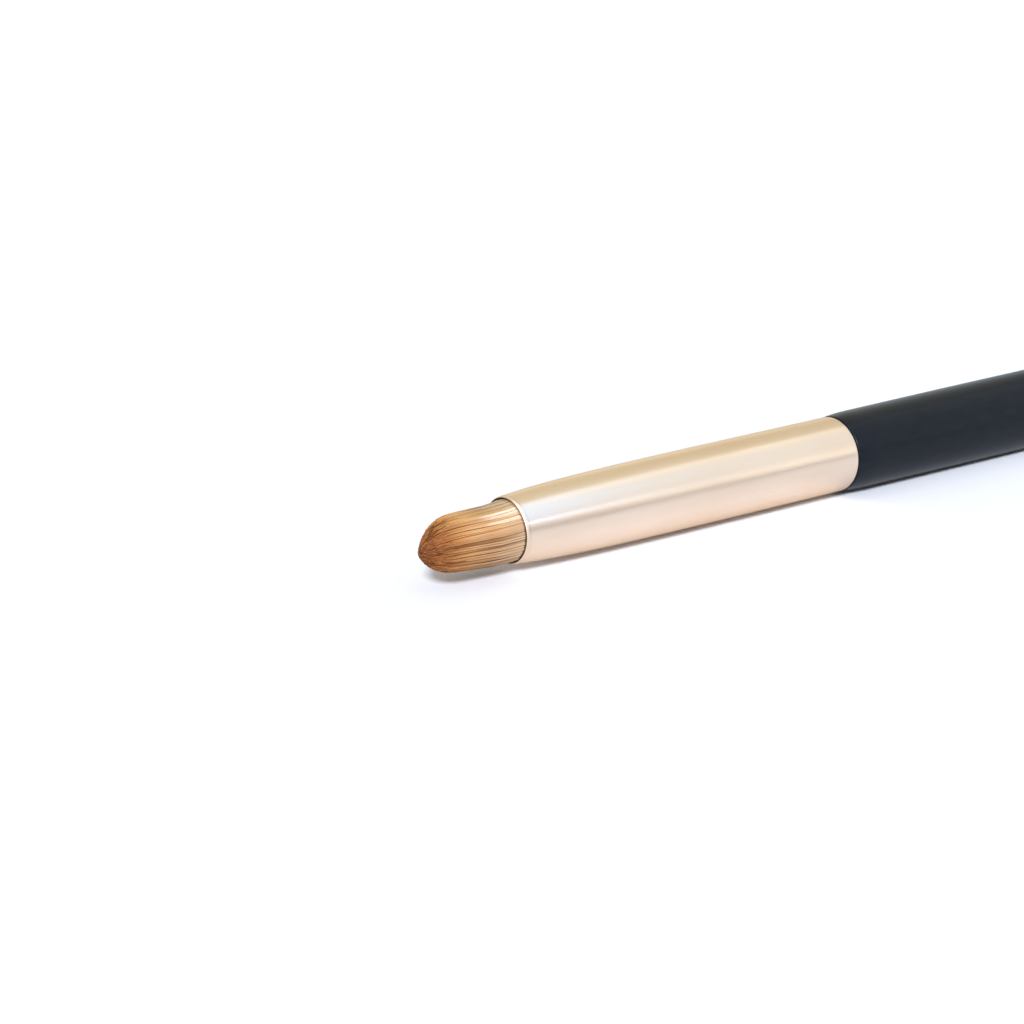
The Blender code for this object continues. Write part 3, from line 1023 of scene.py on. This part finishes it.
class ADD_OT_concealer_handle(bpy.types.Operator):
    """Makes the turned and lacquered rod, from its tenon to its tail"""

    bl_idname = "concealer.handle"
    bl_label = "Handle"
    bl_options = {"REGISTER", "UNDO"}

    def execute(self, context):
        front = spaced(SHOULDER + FRONT_MARGIN, BELLY, FRONT_CIRCLES, power=FRONT_SPACING)
        back = spaced(BELLY, TAIL_END - BACK_MARGIN, BACK_CIRCLES)[1:]
        outline = [(TENON_START, 0.0), (TENON_START, TENON_RADIUS)]
        outline += [*self.grooves(), (SHOULDER, TENON_RADIUS)]
        outline += [(x, handle_radius(x)) for x in (SHOULDER, *front, *back, TAIL_END)]
        outline.append((TAIL_END, 0.0))
        bm = turned(outline)
        round_edge(bm, TENON_START, TENON_RADIUS, TENON_CHAMFER, segments=1)
        round_edge(bm, SHOULDER, SHOULDER_RADIUS, SHOULDER_ROUND, segments=6)
        round_edge(bm, TAIL_END, handle_radius(TAIL_END), TAIL_ROUND, segments=12)
        material = lacquer_finish(context.scene.concealer_handle)
        finish_piece("handle_rod", bm, material, "handle")
        return {"FINISHED"}

    def grooves(self):
        """The V grooves round the tenon, which the glue keys into."""
        points = []
        for place in spaced(TENON_START + GROOVE_MARGIN, FERRULE_LENGTH - GROOVE_MARGIN, GROOVE_COUNT):
            points.append((place - GROOVE_WIDTH / 2, TENON_RADIUS))
            points.append((place, TENON_RADIUS - GROOVE_DEPTH))
            points.append((place + GROOVE_WIDTH / 2, TENON_RADIUS))
        return points


class ADD_OT_concealer_bonds(bpy.types.Operator):
    """Gives the tie, the resin and the glue inside the ferrule their finishes"""

    bl_idname = "concealer.bonds"
    bl_label = "Inner bonds"
    bl_options = {"REGISTER", "UNDO"}

    def execute(self, context):
        finishes = {
            "binding_thread": thread_finish(),
            "root_glue_plug": resin_finish(),
            "tenon_glue_film": glue_finish(),
        }
        for name, material in finishes.items():
            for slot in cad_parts[name].material_slots:
                slot.material = material
        return {"FINISHED"}


class ADD_OT_concealer_studio(bpy.types.Operator):
    """Makes the white floor, the lamps, the bright room and the camera"""

    bl_idname = "concealer.studio"
    bl_label = "Studio"
    bl_options = {"REGISTER", "UNDO"}

    def execute(self, context):
        settings = context.scene.concealer_studio
        mouth = Vector((MOUTH_X, 0, AXIS_HEIGHT))
        self.make_floor(context, settings)
        self.make_key(context, settings)
        for softbox in SOFTBOXES:
            self.make_softbox(context, settings, mouth, *softbox)
        world = bpy.data.worlds.new("white_room")
        world.use_nodes = True
        background = world.node_tree.nodes["Background"]
        background.inputs["Strength"].default_value = settings.room
        background.inputs["Color"].default_value = ROOM_COLOUR
        context.scene.world = world
        context.scene.view_settings.view_transform = "Standard"
        self.make_camera(context, mouth, settings)
        return {"FINISHED"}

    def make_floor(self, context, settings):
        """A square white board under the brush."""
        bm = bmesh.new()
        bmesh.ops.create_grid(bm, x_segments=1, y_segments=1, size=settings.floor_size / 2)
        mesh = bpy.data.meshes.new("floor")
        bm.to_mesh(mesh)
        bm.free()
        mesh.materials.append(floor_finish())
        floor = bpy.data.objects.new("floor", mesh)
        context.scene.collection.objects.link(floor)

    def make_key(self, context, settings):
        """A far, soft lamp to the left of the camera."""
        light = bpy.data.lights.new("key", "SUN")
        light.energy = math.pi * settings.key
        light.angle = settings.key_spread
        light.color = KEY_COLOUR
        lamp = bpy.data.objects.new("key", light)
        lamp.rotation_euler = Vector(KEY_DIRECTION).to_track_quat("Z", "X").to_euler()
        context.scene.collection.objects.link(lamp)

    def make_softbox(self, context, settings, target, name, along, rise, width, depth, brightness, colour):
        """A panel that only gloss shows, placed by its angles from the brush's axis and round it."""
        tilt, turn = math.radians(along), math.radians(rise)
        away = Vector((math.cos(tilt), -math.sin(tilt) * math.cos(turn), math.sin(tilt) * math.sin(turn)))
        side = (Vector((1, 0, 0)) - away * away.x).normalized()
        light = bpy.data.lights.new(name, "AREA")
        light.shape = "RECTANGLE"
        light.size, light.size_y = width, depth
        light.energy = math.pi * width * depth * brightness * settings.softboxes
        light.color = colour
        lamp = bpy.data.objects.new(name, light)
        turned_to = Matrix((side, away.cross(side), away)).transposed()
        lamp.matrix_world = Matrix.LocRotScale(target + away * SOFTBOX_DISTANCE, turned_to, None)
        lamp.visible_camera = False
        lamp.visible_diffuse = False
        context.scene.collection.objects.link(lamp)

    def make_camera(self, context, mouth, settings):
        """The photograph's view: the mouth's centre falls on its pixel, at the fitted distance."""
        azimuth, elevation = math.radians(CAMERA_AZIMUTH), math.radians(CAMERA_ELEVATION)
        turn = Euler((math.pi / 2 - elevation, 0, azimuth)).to_matrix()
        focal = settings.lens / SENSOR_MILLIMETRES * PICTURE_PIXELS
        across, down = (pixel - PICTURE_PIXELS / 2 for pixel in MOUTH_PIXEL)
        sight = turn @ Vector((across, -down, -focal)).normalized() * CAMERA_DISTANCE
        data = bpy.data.cameras.new("camera")
        data.lens = settings.lens
        data.sensor_width = SENSOR_MILLIMETRES
        data.clip_start = CAMERA_CLIP_START
        camera = bpy.data.objects.new("camera", data)
        camera.matrix_world = Matrix.LocRotScale(mouth - sight, turn, None)
        context.scene.collection.objects.link(camera)
        context.scene.camera = camera


class VIEW3D_PT_concealer(bpy.types.Panel):
    """Lists the pieces and the sizes and colours that they take"""

    bl_idname = "VIEW3D_PT_concealer"
    bl_label = "Concealer brush"
    bl_space_type = "VIEW_3D"
    bl_region_type = "UI"
    bl_category = "Brush"

    def draw(self, context):
        for operator, group in PIECES:
            box = self.layout.box()
            box.operator(operator.bl_idname)
            if group:
                settings = getattr(context.scene, group)
                for name in settings.__annotations__:
                    box.prop(settings, name)


SETTINGS = {
    "concealer_tuft": TuftSettings,
    "concealer_ferrule": FerruleSettings,
    "concealer_handle": HandleSettings,
    "concealer_studio": StudioSettings,
}
PIECES = (
    (ADD_OT_concealer_hair, "concealer_tuft"),
    (ADD_OT_concealer_ferrule, "concealer_ferrule"),
    (ADD_OT_concealer_handle, "concealer_handle"),
    (ADD_OT_concealer_bonds, None),
    (ADD_OT_concealer_studio, "concealer_studio"),
)


def register():
    for name, group in SETTINGS.items():
        bpy.utils.register_class(group)
        setattr(bpy.types.Scene, name, bpy.props.PointerProperty(type=group))
    for operator, _ in PIECES:
        bpy.utils.register_class(operator)
    bpy.utils.register_class(VIEW3D_PT_concealer)


def unregister():
    bpy.utils.unregister_class(VIEW3D_PT_concealer)
    for operator, _ in reversed(PIECES):
        bpy.utils.unregister_class(operator)
    for name, group in SETTINGS.items():
        delattr(bpy.types.Scene, name)
        bpy.utils.unregister_class(group)


def main():
    register()
    bpy.ops.concealer.hair()
    bpy.ops.concealer.ferrule()
    bpy.ops.concealer.handle()
    bpy.ops.concealer.bonds()
    bpy.ops.concealer.studio()


if __name__ == "__main__":
    main()
